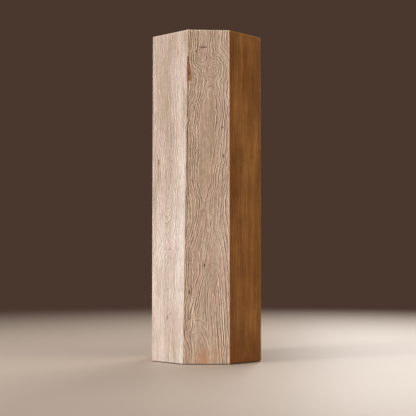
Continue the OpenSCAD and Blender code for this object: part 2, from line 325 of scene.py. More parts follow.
def build_stave(i, mats, step, row):
    name = STAVES[i]
    p = BOARDS[name]
    az = math.radians(-90 + 45 * i)
    n = np.array([math.cos(az), math.sin(az)])
    t = np.array([-math.sin(az), math.cos(az)])
    k_lo, k_hi = (8 if i == 0 else i), i + 1

    def outer(z):
        x, y = arris(k_hi, z)
        return n[0] * x + n[1] * y

    def across(k, z):
        x, y = arris(k, z)
        return t[0] * x + t[1] * y

    # rows: (kind, inward offset from the outer plane or None, apothem or None, height, part of the way across an end)
    rows = []
    foot, rim = 1.5, 1.7
    for f in np.linspace(1, 0.07, 10):
        rows.append(("end", None, B, Z0, f))
    for q in np.linspace(0, 1, 5):
        e = q * math.pi / 2
        rows.append(("edge", foot * (1 - math.sin(e)), None, Z0 + foot * (1 - math.cos(e)), 0))
    zs = np.linspace(Z0 + foot, Z1 - rim, int(round((Z1 - Z0) / row)) + 1)[1:-1]
    for z in zs:
        rows.append(("face", 0.0, None, z, 0))
    for q in np.linspace(0, 1, 6):
        e = q * math.pi / 2
        rows.append(("edge", rim * (1 - math.cos(e)), None, Z1 - rim * (1 - math.sin(e)), 0))
    for f in np.linspace(0, 0.955, 10)[1:]:
        rows.append(("end", None, RIM_A, Z1, f))
    rows.append(("end", None, RIM_A, Z1 - 0.14, 0.988))
    rows.append(("end", None, RIM_A, Z1 - 0.5, 1.0))
    for z in np.linspace(Z1 - 0.5, Z_TOP, 5)[1:]:
        rows.append(("in", None, RIM_A, z, 1))
    for r in np.linspace(RIM_A, RIB_A, 3)[1:]:
        rows.append(("in", None, r, Z_TOP, 1))
    inner = [(RIB_A, RIBS[2][0]), (B, RIBS[2][0]), (B, RIBS[1][1]), (RIB_A, RIBS[1][1]), (RIB_A, RIBS[1][0]),
             (B, RIBS[1][0]), (B, RIBS[0][1]), (RIB_A, RIBS[0][1]), (RIB_A, RIBS[0][0]), (B, RIBS[0][0]), (B, Z0)]
    at = (RIB_A, Z_TOP)
    for r, z in inner:
        steps = max(1, int(abs(z - at[1]) / 25))
        for q in range(1, steps + 1):
            rows.append(("in", None, at[0] + (r - at[0]) * q / steps, at[1] + (z - at[1]) * q / steps, 1))
        at = (r, z)
    rows.pop()  # the last is the first again
    kinds = np.array([r[0] for r in rows])
    nj = len(rows)
    width = float(across(k_hi, 450.0) - across(k_lo, 450.0))
    u = columns(width, step)
    ni = len(u)

    z = np.array([r[3] for r in rows], float)[:, None] + np.zeros((1, ni))
    a_z = outer(z)
    s_lo, s_hi = across(k_lo, z), across(k_hi, z)
    is_outer = np.array([r[1] is not None for r in rows])[:, None]
    off = np.array([r[1] if r[1] is not None else 0.0 for r in rows], float)[:, None]
    apo = np.array([r[2] if r[2] is not None else 0.0 for r in rows], float)[:, None]
    s = s_lo + (s_hi - s_lo) * u[None, :]

    # the inside follows a regular octagon, whose corners need not lie on the mitres
    hits = []
    for k, edge, side in ((k_lo, s_lo, 1), (k_hi, s_hi, -1)):
        nb = np.array([math.cos(az - side * math.pi / 4), math.sin(az - side * math.pi / 4)])
        x, y = arris(k, z)
        deep_in = np.maximum(a_z - apo, nb[0] * x + nb[1] * y - apo) * T
        hits.append(edge + side * deep_in)
    ss_in = hits[0] + (hits[1] - hits[0]) * u[None, :]
    r_in = np.minimum(apo, apo * math.sqrt(2) - np.abs(ss_in))

    g = {}
    # the face and its rounded ends, then the two end-grain bands
    outer_rows = np.where(is_outer[:, 0])[0]
    o0, o1 = outer_rows[0], outer_rows[-1] + 1
    full = grain(p, s[o0:o1], z[o0:o1])
    for key, v in full.items():
        g[key] = np.zeros((nj, ni))
        g[key][o0:o1] = v
    d_lo, d_hi = s - s_lo, s_hi - s
    edge_fade = smooth(d_lo, 0.3, 4.0) * smooth(d_hi, 0.3, 4.0)
    strength = np.ones_like(s)
    if name == "stave_front":
        left, right, low = 1 - smooth(s, -30, -12), smooth(s, 22, 40), 1 - smooth(z, 90, 190)
        strength = 0.66 + 0.42 * left + 0.10 * right + 0.50 * right * low + 0.20 * left * low
        strength = strength * (1 - 0.55 * smooth(s, -6, 6) * (1 - smooth(s, 38, 50)) * smooth(z, 215, 260) * (1 - smooth(z, 400, 450)))
        strength = strength * (1 - 0.35 * np.exp(-(((s + 12) / 26) ** 2 + ((z - 40) / 45) ** 2)))
    if name == "stave_front_left":
        strength = 0.34 + 1.0 * np.exp(-(((z - 400) / 95) ** 2)) + 0.55 * np.exp(-(((z - 215) / 50) ** 2)) + 0.75 * np.exp(-(((z - 575) / 62) ** 2))
        strength = strength * (1 - 0.6 * smooth(s, 30, 44))
    strength = strength * (1 + 0.30 * noise(z / 90, s / 30, p["seed"] + 77))
    lift = 0.55 * g["ridge"] - 0.60 * g["cut"] - 0.22 * g["cut2"]
    h = p["relief"] * (0.55 - strength * lift) - p["fine"] * g["fibre"] * 0.6
    h = h + 0.10 * p["relief"] * fbm(z / 120, s / 40, p["seed"] + 40, 2)
    h = np.maximum(h, 0) * edge_fade
    pit = np.zeros_like(s)
    for ps, pz, pa, pb in p["pits"]:
        e = ((s - ps) / pa) ** 2 + ((z - pz) / pb) ** 2
        pit = np.maximum(pit, np.exp(-e * 1.4))
    h = h + 1.3 * pit
    knot = g["knot"]
    h = h + 0.25 * knot * (1 if p["relief"] > 0.4 else 0.5)
    wear = np.zeros_like(s)
    wear_and_highlight = np.zeros_like(s)
    rim_dark = np.zeros_like(s)
    for k, d, side in ((k_lo, d_lo, "lo"), (k_hi, d_hi, "hi")):
        radius = arris_radius(k, z)
        tangent = radius * T
        inside = np.clip(tangent - d, 0, None)
        h = h + radius - np.sqrt(np.maximum(radius ** 2 - inside ** 2, 0))
        loss = arris_loss(k, z)
        reach = 2.2 + 0.9 * loss
        if k == 8 and side == "lo":      # the wane on the front board
            here = smooth(z, 757, 761) * (1 - smooth(z, 824, 836))
            wide = through(z, [(758, 13.5), (776, 14.5), (790, 11.5), (806, 8.5), (820, 5.5), (836, 3.5)]) + 1.9 * noise(z / 8, 0.5, 991) + 1.2 * noise(z / 3, 0.5, 994)
            reach = reach * (1 - here) + wide * here
        fall = np.clip(1 - d / reach, 0, 1) ** (0.8 if k == 8 and side == "lo" else 1.35)
        h = h + loss * fall
        if k == 8:
            big = smooth(z, 758, 762.5) * (1 - smooth(z, 824, 834))
            if side == "lo":
                wear = np.maximum(wear, big * smooth(fall + 0.22 * noise(z / 6, s / 1.3, 992), 0.06, 0.30))
                rim_dark = np.maximum(rim_dark, big * np.exp(-(((d - 0.6) / 0.9) ** 2)) * np.clip(0.7 + 0.7 * noise(z / 6, 3.5, 993), 0, 1))
                rim_dark = np.maximum(rim_dark, 0.9 * big * smooth(z, 812, 818) * np.exp(-(((d - 2.5) / 2.0) ** 2)))
            else:
                wear = np.maximum(wear, big * smooth(fall, 0.55, 0.9) * 0.6)
        # a lighter band along each arris: partly rubbed wear, partly a painted highlight on the eased edge
        wear_and_highlight = np.maximum(wear_and_highlight, smooth(-d, -tangent * 1.6 - 0.8, -0.2) * np.clip(0.75 + 0.45 * noise(z / 14, 2.5, 995 + k), 0, 1.1))
    # knocks along the rim and the foot
    dent = 0.5 * np.clip(noise(s / 9, i * 5.7, 880), 0, 1) + 0.25 * np.abs(noise(s / 3.2, i * 2.3, 881))
    near_rim = smooth(z, Z1 - 6, Z1 - 1)
    near_foot = 1 - smooth(z, Z0 + 1, Z0 + 7)
    h = h + dent * 0.8 * (near_rim + near_foot) * is_outer

    r = np.where(is_outer, a_z - off - h, r_in)
    lo_edge = s_lo + (a_z - r) * T
    hi_edge = s_hi - (a_z - r) * T
    ss = np.where(is_outer, lo_edge + (hi_edge - lo_edge) * u[None, :], ss_in)
    for j in np.where(kinds == "end")[0]:       # an end runs from the face's rounding to the inside
        f, o = rows[j][4], (o1 - 1 if z[j, 0] > 100 else o0)
        r[j] = (1 - f) * r[o] + f * r[j]
        ss[j] = (1 - f) * ss[o] + f * ss[j]
    for band in (np.where((kinds == "end") & (z[:, 0] < 100))[0], np.where((kinds == "end") & (z[:, 0] > 100))[0]):
        sel = slice(band[0], band[-1] + 1)
        part = grain(p, ss[sel], z[sel], below=(a_z - r)[sel])
        for key, v in part.items():
            g[key][sel] = v
    zz = z + out_of_level(n[0] * r + t[0] * ss, z)
    end_top = (kinds == "end") & (z[:, 0] > Z1 - 0.01)
    zz[end_top] -= (np.maximum(0.10 * g["cut"] + 0.05 * g["fibre"], 0) * edge_fade)[end_top]
    co = np.stack([n[0] * r + t[0] * ss, n[1] * r + t[1] * ss, zz], -1).reshape(-1, 3)

    # faces
    jj, ii = np.meshgrid(np.arange(nj), np.arange(ni - 1), indexing="ij")
    j2 = (jj + 1) % nj
    quads = np.stack([jj * ni + ii, jj * ni + ii + 1, j2 * ni + ii + 1, j2 * ni + ii], -1).reshape(-1, 4)
    kind_next = kinds[(np.arange(nj) + 1) % nj]
    end_row = (kinds == "end") & (kind_next == "end") | ((kinds == "edge") & (kind_next == "end")) | ((kinds == "end") & (kind_next == "edge"))
    in_row = (kinds == "in") | (kind_next == "in")
    row_mat = np.where(in_row, 2, np.where(end_row, 1, 0))
    mat = np.repeat(row_mat, ni - 1)
    faces = list(quads)
    extra = []

    # mitre faces, each with the groove for its loose tongue
    co_list = [co]
    count = len(co)
    for side, k in ((0, k_lo), (1, k_hi)):
        col = np.arange(nj) * ni + (0 if side == 0 else ni - 1)
        tt = (a_z[:, 0] - r[:, 0 if side == 0 else -1]) / C
        near = np.where(tt < TONGUE_IN)[0]
        jb, jt = near[0], near[-1]
        m = np.array([math.cos(corner_azimuth(k)), math.sin(corner_azimuth(k))])
        into = np.array([-m[1], m[0]]) * (1 if side == 0 else -1)

        def at_groove(tin, zg, deep):
            x, y = arris(k, zg)
            return [float(x) - m[0] * tin + into[0] * deep, float(y) - m[1] * tin + into[1] * deep, zg]

        g0, g1 = TONGUE_IN - TONGUE_T / 2 - 0.05, TONGUE_IN + TONGUE_T / 2 + 0.05
        zb, zt = TONGUE_Z
        deep = TONGUE_W / 2 + 0.3
        pts = [at_groove(g0, zb, 0), at_groove(TONGUE_IN, zb, 0), at_groove(g1, zb, 0),
               at_groove(g1, zt, 0), at_groove(TONGUE_IN, zt, 0), at_groove(g0, zt, 0),
               at_groove(g0, zb, deep), at_groove(g1, zb, deep), at_groove(g1, zt, deep), at_groove(g0, zt, deep)]
        b = count
        co_list.append(np.array(pts))
        count += len(pts)
        gbo, gbm, gbi, gti, gtm, gto, fbo, fbi, fti, fto = range(b, b + 10)
        outer_poly = list(col[jb:jt + 1]) + [gtm, gto, gbo, gbm]
        inner_poly = list(col[jt:]) + list(col[:jb + 1]) + [gbm, gbi, gti, gtm]
        pocket = [[gbo, gto, fto, fbo], [gti, gbi, fbi, fti], [gbm, gbo, fbo, fbi, gbi][::1], [gto, gtm, gti, fti, fto], [fbo, fto, fti, fbi]]
        polys = [outer_poly, inner_poly] + pocket
        if side == 1:
            polys = [q[::-1] for q in polys]
        extra += polys
    faces += [np.array(q) for q in extra]
    mat = np.concatenate([mat, np.full(len(extra), 2)])
    co = np.concatenate(co_list)

    # outward normals
    tri = co[quads[:, [0, 1, 2]]]
    mid = tri[: len(tri)].mean(1)
    nrm = np.cross(tri[:, 1] - tri[:, 0], tri[:, 2] - tri[:, 0])
    face_sel = np.repeat(row_mat == 0, ni - 1)
    if float((nrm[face_sel][:, 0] * n[0] + nrm[face_sel][:, 1] * n[1]).mean()) < 0:
        faces = [f[::-1] for f in faces]

    pad = len(co) - nj * ni
    tone = fbm(z / 230, s / 26, p["seed"] + 50, 3)
    if name == "stave_front_left":
        # front-left board: painted lighter below about 250 mm and darker above it, a painted pool of light on its lower
        # part; also darker along both edges
        tone = tone * 0.9 + 1.5 * smooth(z, 250, 760) * (1 - 0.75 * smooth(s, 16, 44)) - 0.42 - 0.30 * smooth(s, 30, 52) * (1 - smooth(z, 540, 640))
        tone = tone + 0.75 * smooth(s, 36, 50) * smooth(z, 540, 660) + 0.35 * (1 - smooth(s, -56, -42))
    if name == "stave_front_right":
        tone = tone * 0.8 + 0.75 * (1 - smooth(z, 20, 120)) + 0.55 * smooth(z, 700, 800) * (1 - smooth(s, -44, -14))
        tone = tone - 0.45 * smooth(z, 470, 540) * (1 - smooth(z, 700, 760)) * smooth(s, -14, 10) * (1 - smooth(s, 40, 56)) - 0.2 * smooth(z, 150, 220) * (1 - smooth(z, 330, 400))
    hue = 0.5 + 0.5 * fbm(z / 95, s / 24, p["seed"] + 60, 3)
    arris_shade = np.zeros_like(s)
    orange = np.zeros_like(s)
    if name == "stave_front":
        flat = 1 - smooth(g["rings"], -5.0, 0.0)
        tone = tone * 0.8 + 0.55 * flat - 0.30 * (1 - smooth(s, -34, -16)) * (1 - smooth(z, 330, 430)) + 0.85 * (1 - smooth(s, -40, -6)) * smooth(z, 370, 460) - 0.25 * smooth(s, 26, 46) - 0.25 * smooth(s, 0, 10) * (1 - smooth(z, 390, 460))
        hue = hue + 0.55 * np.exp(-(((s + 8) / 12) ** 2 + ((z - 832) / 17) ** 2)) + 0.7 * np.exp(-(((s + 27) / 12) ** 2 + ((z - 275) / 45) ** 2))
        hue = hue + 0.4 * np.exp(-(((s - 8) / 14) ** 2 + ((z - 758) / 12) ** 2)) + 0.5 * smooth(s, 46, 56) * np.clip(noise(z / 70, 0.5, 63) + 0.5, 0, 1)
        # painted shade: a darker band a few millimetres wide beside the front-left arris, from about 300 to 890 mm up
        arris_shade = (1 - smooth(d_lo, 3, 9)) * np.clip(0.55 + 0.5 * noise(z / 60, 0.5, 64), 0, 1) * smooth(z, 300, 360) * (1 - smooth(z, 860, 890))
        orange = np.exp(-(((s + 12) / 22) ** 2 + ((z - 18) / 24) ** 2)) + 0.5 * np.exp(-(((s - 30) / 14) ** 2 + ((z - 30) / 36) ** 2))
        orange = orange * np.clip(0.75 + 0.5 * noise(z / 14, s / 14, 65), 0, 1)
        # a raised, rubbed line of grain beside the right arris, near the floor, painted lighter as its highlight
        line = through(z, [(0, 50), (25, 50), (58, 53), (95, 48), (135, 44), (170, 46)]) + 0.8 * noise(z / 7, 0.5, 66)
        rubbed_highlight = np.exp(-(((s - line) / 1.5) ** 2)) * smooth(z, 18, 40) * (1 - smooth(z, 120, 160)) * np.clip(0.8 + 0.5 * noise(z / 11, 0.5, 67), 0, 1)
        wear_and_highlight = np.maximum(wear_and_highlight, 0.85 * rubbed_highlight)
    rings_tone = 0.5 + 0.5 * np.sin(g["rings"] / (p["ring_w"] * 2.9) + p["seed"])
    depth_tone = np.clip(0.45 + 0.55 * strength, 0, 1.25)
    attrs = {
        "cut": g["cut"] * np.where(is_outer, np.clip(edge_fade + 0.25, 0, 1), 1.0) * depth_tone,
        "ridge": g["ridge"] * np.where(is_outer, edge_fade, 0.0) * depth_tone,
        "cut2": g["cut2"] * depth_tone, "fibre": 0.5 + 0.35 * g["fibre"], "tone": 0.5 + 0.5 * tone, "band": rings_tone,
        "hue": np.clip(hue, 0, 1), "arris_shade": np.clip(arris_shade, 0, 1), "orange": np.clip(orange, 0, 1),
        "knot": np.maximum(knot, 0), "pit": np.clip(1.5 * pit, 0, 1), "wear": np.clip(wear, 0, 1), "rim_dark": np.clip(rim_dark, 0, 1),
        # the last term is a painted highlight along the eased top rim, as if it caught the light from above
        "wear_and_highlight": np.clip(wear_and_highlight, 0, 1) * is_outer + 0.8 * is_outer * smooth(z, Z1 - 3.0, Z1 - 1.2),
        "run": g["rings"] / p["ring_w"],
    }
    attrs = {key: np.concatenate([np.asarray(v, float).ravel(), np.zeros(pad)]) for key, v in attrs.items()}
    ob = make_object("wood_" + name, co, faces, mats, mat, attrs)
    return ob


# ---------------------------------------------------------------- shader helpers


class Shade:
    def __init__(self, name):
        self.mat = bpy.data.materials.new(name)
        self.mat.use_nodes = True
        self.nt = self.mat.node_tree
        self.nt.nodes.clear()
        self.out = self.nt.nodes.new("ShaderNodeOutputMaterial")
        self.bsdf = self.nt.nodes.new("ShaderNodeBsdfPrincipled")
        self.nt.links.new(self.bsdf.outputs[0], self.out.inputs[0])
        self.x = 0

    def put(self, socket, value):
        if isinstance(value, bpy.types.NodeSocket):
            self.nt.links.new(value, socket)
        elif isinstance(value, (tuple, list)) and len(value) == 3 and socket.type == "RGBA":
            socket.default_value = (*value, 1)
        else:
            socket.default_value = value

    def node(self, kind, props=None, **inputs):
        nd = self.nt.nodes.new(kind)
        for key, v in (props or {}).items():
            setattr(nd, key, v)
        for key, v in inputs.items():
            self.put(nd.inputs[int(key[1:])] if key[0] == "i" and key[1:].isdigit() else nd.inputs[key.replace("_", " ")], v)
        return nd

    def attr(self, name):
        return self.node("ShaderNodeAttribute", {"attribute_name": name, "attribute_type": "GEOMETRY"}).outputs["Fac"]

    def m(self, op, a, b=0.0, c=None, clamp=False):
        nd = self.node("ShaderNodeMath", {"operation": op, "use_clamp": clamp}, i0=a, i1=b)
        if c is not None:
            self.put(nd.inputs[2], c)
        return nd.outputs[0]

    def mix(self, f, a, b, blend="MIX"):
        nd = self.node("ShaderNodeMix", {"data_type": "RGBA", "blend_type": blend, "clamp_factor": True})
        self.put(nd.inputs[0], f)
        self.put(nd.inputs[6], a)
        self.put(nd.inputs[7], b)
        return nd.outputs[2]

    def ramp(self, f, stops, interp="LINEAR"):
        nd = self.node("ShaderNodeValToRGB", i0=f)
        nd.color_ramp.interpolation = interp
        el = nd.color_ramp.elements
        while len(el) < len(stops):
            el.new(0.5)
        for e, (pos, col) in zip(el, stops):
            e.position = pos
            e.color = (*col, 1) if isinstance(col, tuple) else (col, col, col, 1)
        return nd.outputs[0]

    def place(self, scale=(1, 1, 1), rotation=(0, 0, 0), location=(0, 0, 0)):
        if not hasattr(self, "_tc"):
            self._tc = self.node("ShaderNodeTexCoord").outputs["Object"]
        return self.node("ShaderNodeMapping", {"vector_type": "POINT"}, Vector=self._tc, Location=location, Rotation=rotation, Scale=scale).outputs[0]

    def noise(self, where, scale, detail=2.0, rough=0.5, distortion=0.0):
        return self.node("ShaderNodeTexNoise", {"noise_dimensions": "3D"}, Vector=where, Scale=scale, Detail=detail, Roughness=rough, Distortion=distortion).outputs[0]

    def bump(self, height, strength, distance, normal=None):
        nd = self.node("ShaderNodeBump", Strength=strength, Distance=distance, Height=height)
        if normal is not None:
            self.put(nd.inputs["Normal"], normal)
        return nd.outputs[0]


def srgb(r, g, b):
    return tuple(((c / 255) / 12.92 if c / 255 <= 0.04045 else ((c / 255 + 0.055) / 1.055) ** 2.4) for c in (r, g, b))


def scaled(c, k):
    return tuple(x * k for x in c)


def wood_face(name, light, groove, warm, knot, wear, shift, rough=0.62, groove_amt=0.8, band_amt=0.25, fibre_amt=0.3, pore_amt=0.45,
              tone_amt=0.5, ridge_amt=0.5, pink=None, pink_amt=0.4, cross_amt=0.0, highlight_and_wear_col=None, highlight_and_wear_amt=0.35):
    """Long grain. The growth rings, knots, wear and the painted highlights along the edges come with the mesh; pores
    and fibres are finer than it and are made here.
    """
    sh = Shade(name)
    fibres = sh.noise(sh.place(scale=(1, 1, 0.055), location=(shift, shift * 0.7, shift * 1.3)), 700.0, 5.0, 0.66)
    streaks = sh.noise(sh.place(scale=(1, 1, 0.05), location=(shift * 1.7, 0, shift)), 170.0, 3.0, 0.55)
    mottle = sh.noise(sh.place(scale=(1, 1, 0.30), location=(0, shift * 2.1, 0)), 230.0, 4.0, 0.62)
    pores = sh.noise(sh.place(scale=(1, 1, 0.12), location=(0, shift, shift)), 1150.0, 2.0, 0.5)
    pore_mask = sh.ramp(pores, [(0.0, 1.0), (0.35, 1.0), (0.44, 0.0), (1.0, 0.0)])
    cut, cut2, ridge = sh.attr("cut"), sh.attr("cut2"), sh.attr("ridge")
    pore_in = sh.m("MULTIPLY", pore_mask, sh.m("MULTIPLY_ADD", cut, 0.6, 0.4, clamp=True))
    base = sh.mix(sh.m("MULTIPLY", sh.attr("tone"), tone_amt, clamp=True), light, warm)
    if pink is not None:
        base = sh.mix(sh.m("MULTIPLY", sh.ramp(sh.attr("hue"), [(0.35, 0.0), (0.8, 1.0)], "EASE"), pink_amt), base, pink)
    base = sh.mix(sh.m("MULTIPLY", sh.attr("band"), band_amt), base, scaled(warm, 0.80))
    # ridge tops painted lighter and grooves darker: partly the grain's own colour, partly painted highlight on the
    # ridges and painted shade in the grooves
    base = sh.mix(sh.m("MULTIPLY", ridge, ridge_amt, clamp=True), base, scaled(light, 1.22))
    base = sh.mix(sh.m("MULTIPLY", cut, groove_amt, clamp=True), base, groove)
    base = sh.mix(sh.m("MULTIPLY", cut2, groove_amt * 0.5, clamp=True), base, groove)
    var = sh.m("MULTIPLY", sh.m("MULTIPLY_ADD", fibres, fibre_amt * 1.6, 1.0 - fibre_amt * 0.8),
               sh.m("MULTIPLY_ADD", streaks, fibre_amt * 1.2, 1.0 - fibre_amt * 0.6))
    var = sh.m("MULTIPLY", var, sh.m("MULTIPLY_ADD", mottle, fibre_amt * 1.5, 1.0 - fibre_amt * 0.75))
    if cross_amt:
        cross = sh.noise(sh.place(scale=(1, 1, 0.9), location=(shift, 0, shift)), 24.0, 4.0, 0.6)
        var = sh.m("MULTIPLY", var, sh.m("MULTIPLY_ADD", cross, cross_amt * 2, 1.0 - cross_amt))
    var_col = sh.node("ShaderNodeCombineColor", None, i0=var, i1=var, i2=var).outputs[0]
    base = sh.mix(1.0, base, var_col, "MULTIPLY")
    base = sh.mix(sh.m("MULTIPLY", pore_in, pore_amt), base, scaled(groove, 0.55))
    # painted shade beside the front-left arris, mixed towards the groove colour
    base = sh.mix(sh.m("MULTIPLY", sh.attr("arris_shade"), 0.6), base, scaled(groove, 0.9))
    base = sh.mix(sh.m("MULTIPLY", sh.attr("orange"), 0.65), base, srgb(196, 138, 96))
    if highlight_and_wear_col is not None:
        # lighter colour along the arrises and the rim: partly wear, partly painted highlight
        base = sh.mix(sh.m("MULTIPLY", sh.attr("wear_and_highlight"), highlight_and_wear_amt), base, highlight_and_wear_col)
    knot_rings = sh.noise(sh.place(scale=(1, 1, 0.6)), 420.0, 3.0, 0.6)
    base = sh.mix(sh.m("MULTIPLY", sh.attr("knot"), sh.m("MULTIPLY_ADD", knot_rings, 0.7, 0.5), clamp=True), base, knot)
    base = sh.mix(sh.m("MULTIPLY", sh.attr("pit"), 0.95), base, scaled(knot, 0.35))
    wear_noise = sh.noise(sh.place(scale=(1, 1, 0.30)), 210.0, 4.0, 0.72)
    wear_col = sh.ramp(wear_noise, [(0.34, scaled(wear, 0.42)), (0.5, wear), (0.66, (wear[0] * 1.5, wear[1] * 1.7, wear[2] * 1.8))])
    base = sh.mix(sh.attr("wear"), base, wear_col)
    base = sh.mix(sh.m("MULTIPLY", sh.attr("rim_dark"), 0.8), base, scaled(knot, 0.45))
    sh.put(sh.bsdf.inputs["Base Color"], base)
    r = sh.m("MULTIPLY_ADD", fibres, 0.18, rough - 0.09)
    r = sh.m("ADD", r, sh.m("MULTIPLY", cut, 0.14), clamp=True)
    sh.put(sh.bsdf.inputs["Roughness"], r)
    sh.bsdf.inputs["Specular IOR Level"].default_value = 0.3
    height = sh.m("ADD", sh.m("MULTIPLY", fibres, 0.7), sh.m("MULTIPLY", pore_in, -0.9))
    height = sh.m("ADD", height, sh.m("MULTIPLY", mottle, 0.6))
    sh.put(sh.bsdf.inputs["Normal"], sh.bump(height, 0.6, 0.0005 if groove_amt > 0.5 else 0.0003))
    return sh.mat


def wood_end(name, light, dark, az, shift, rough=0.7):
    """End grain: ring arcs from the mesh, with pores as dots and pale rays across them."""
    sh = Shade(name)
    run = sh.attr("run")
    wave = sh.m("SINE", sh.m("MULTIPLY", run, 4.6 * math.pi))
    soft = sh.m("MULTIPLY_ADD", wave, 0.30, 0.40)
    pores = sh.noise(sh.place(scale=(1, 1, 0.4), location=(shift, 0, 0)), 1300.0, 2.0, 0.5)
    dots = sh.ramp(pores, [(0.0, 1.0), (0.36, 1.0), (0.46, 0.0)])
    rays = sh.noise(sh.place(scale=(0.12, 1, 1), rotation=(0, 0, -az)), 700.0, 2.0, 0.5)
    ray_mask = sh.ramp(rays, [(0.0, 0.0), (0.56, 0.0), (0.66, 1.0)])
    base = sh.mix(soft, light, dark)
    base = sh.mix(sh.m("MULTIPLY", dots, sh.m("MULTIPLY_ADD", soft, 0.5, 0.25)), base, scaled(dark, 0.45))
    base = sh.mix(sh.m("MULTIPLY", ray_mask, 0.35), base, scaled(light, 1.12))
    blotch = sh.noise(sh.place(location=(0, shift, 0)), 60.0, 3.0, 0.6)
    base = sh.mix(sh.m("MULTIPLY", blotch, 0.45), base, scaled(dark, 0.85))
    sh.put(sh.bsdf.inputs["Base Color"], base)
    sh.put(sh.bsdf.inputs["Roughness"], sh.m("MULTIPLY_ADD", pores, 0.2, rough - 0.1, clamp=True))
    sh.bsdf.inputs["Specular IOR Level"].default_value = 0.3
    height = sh.m("ADD", sh.m("MULTIPLY", dots, -0.8), sh.m("MULTIPLY", soft, 0.4))
    sh.put(sh.bsdf.inputs["Normal"], sh.bump(height, 0.5, 0.0003))
    return sh.mat


def wood_sawn(name, light, dark, shift):
    """The machined inside faces: plain, a little darker, with glue-squeeze and saw marks."""
    sh = Shade(name)
    fib = sh.noise(sh.place(scale=(1, 1, 0.05), location=(shift, 0, shift)), 500.0, 4.0, 0.6)
    marks = sh.noise(sh.place(scale=(0.15, 0.15, 1), location=(0, shift, 0)), 260.0, 2.0, 0.5)
    base = sh.mix(fib, light, dark)
    base = sh.mix(sh.m("MULTIPLY", marks, 0.3), base, scaled(dark, 0.8))
    sh.put(sh.bsdf.inputs["Base Color"], base)
    sh.put(sh.bsdf.inputs["Roughness"], sh.m("MULTIPLY_ADD", fib, 0.15, 0.68))
    sh.put(sh.bsdf.inputs["Normal"], sh.bump(sh.m("ADD", fib, marks), 0.35, 0.0003))
    return sh.mat


# ---------------------------------------------------------------- wood colours

LOOK = {
    "stave_front": dict(light=srgb(208, 186, 166), groove=srgb(122, 95, 74), warm=srgb(172, 146, 122), pink=srgb(188, 152, 138), pink_amt=0.45, rough=0.76, groove_amt=0.74,
                        ridge_amt=0.95, band_amt=0.10, tone_amt=0.9, pore_amt=0.60, fibre_amt=0.64, highlight_and_wear_amt=0.75),
    "stave_front_left": dict(light=srgb(206, 194, 184), groove=srgb(140, 117, 101), warm=srgb(166, 144, 124), pink=srgb(194, 168, 160), pink_amt=0.60, rough=0.66, groove_amt=0.72,
                             ridge_amt=0.80, band_amt=0.36, tone_amt=1.0, pore_amt=0.34, fibre_amt=0.46, cross_amt=0.05),
    # front-right and right boards: their deeper orange-brown is partly the wood's own tone, partly painted shade under
    # warm bounce light
    "stave_front_right": dict(light=srgb(210, 154, 88), groove=srgb(126, 80, 36), warm=srgb(150, 96, 44), rough=0.52, groove_amt=0.38, ridge_amt=0.28,
                              band_amt=0.60, tone_amt=1.3, pore_amt=0.24, fibre_amt=0.28, cross_amt=0.34),
    "stave_right": dict(light=srgb(190, 144, 94), groove=srgb(132, 88, 52), warm=srgb(166, 112, 66), rough=0.54, groove_amt=0.45, band_amt=0.45, tone_amt=1.0,
                        pore_amt=0.3, fibre_amt=0.28, cross_amt=0.16),
    "stave_back_right": dict(light=srgb(202, 170, 140), groove=srgb(132, 96, 70), warm=srgb(184, 144, 110), pink=srgb(190, 148, 124), rough=0.70, groove_amt=0.62, band_amt=0.2, tone_amt=0.8, fibre_amt=0.34),
    "stave_back": dict(light=srgb(214, 188, 166), groove=srgb(152, 116, 90), warm=srgb(194, 158, 128), pink=srgb(204, 170, 150), rough=0.62, groove_amt=0.5, band_amt=0.3, tone_amt=0.9, pore_amt=0.35, fibre_amt=0.28),
    "stave_back_left": dict(light=srgb(208, 180, 156), groove=srgb(134, 100, 76), warm=srgb(190, 154, 124), pink=srgb(196, 156, 134), rough=0.72, groove_amt=0.62, band_amt=0.2, tone_amt=0.8, fibre_amt=0.34),
    "stave_left": dict(light=srgb(218, 196, 176), groove=srgb(160, 126, 102), warm=srgb(200, 168, 142), pink=srgb(210, 180, 164), rough=0.62, groove_amt=0.5, band_amt=0.3, tone_amt=0.9, pore_amt=0.3, fibre_amt=0.28),
}
KNOT = srgb(112, 66, 42)
KNOT_RED = srgb(126, 76, 58)
WEAR = srgb(140, 98, 62)

for i, name in enumerate(STAVES):
    look = LOOK[name]
    az = math.radians(-90 + 45 * i)
    shift = 0.37 * i + 0.11
    face = wood_face(name + "_face", knot=KNOT_RED if name == "stave_front_left" else KNOT, wear=WEAR, shift=shift,
                     highlight_and_wear_col=scaled(look["light"], 1.2), **look)
    end = wood_end(name + "_end", scaled(look["light"], 0.80), scaled(look["groove"], 1.0), az, shift)
    sawn = wood_sawn(name + "_sawn", scaled(look["light"], 0.9), scaled(look["warm"], 0.72), shift)
    fine = name in ("stave_front",)
    ob = build_stave(i, [face, end, sawn], 0.8 if fine else 1.1, 2.4 if fine else 3.8)
    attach(ob, "column")
    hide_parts(name)

# ---------------------------------------------------------------- plain materials for the CAD nodes that stay


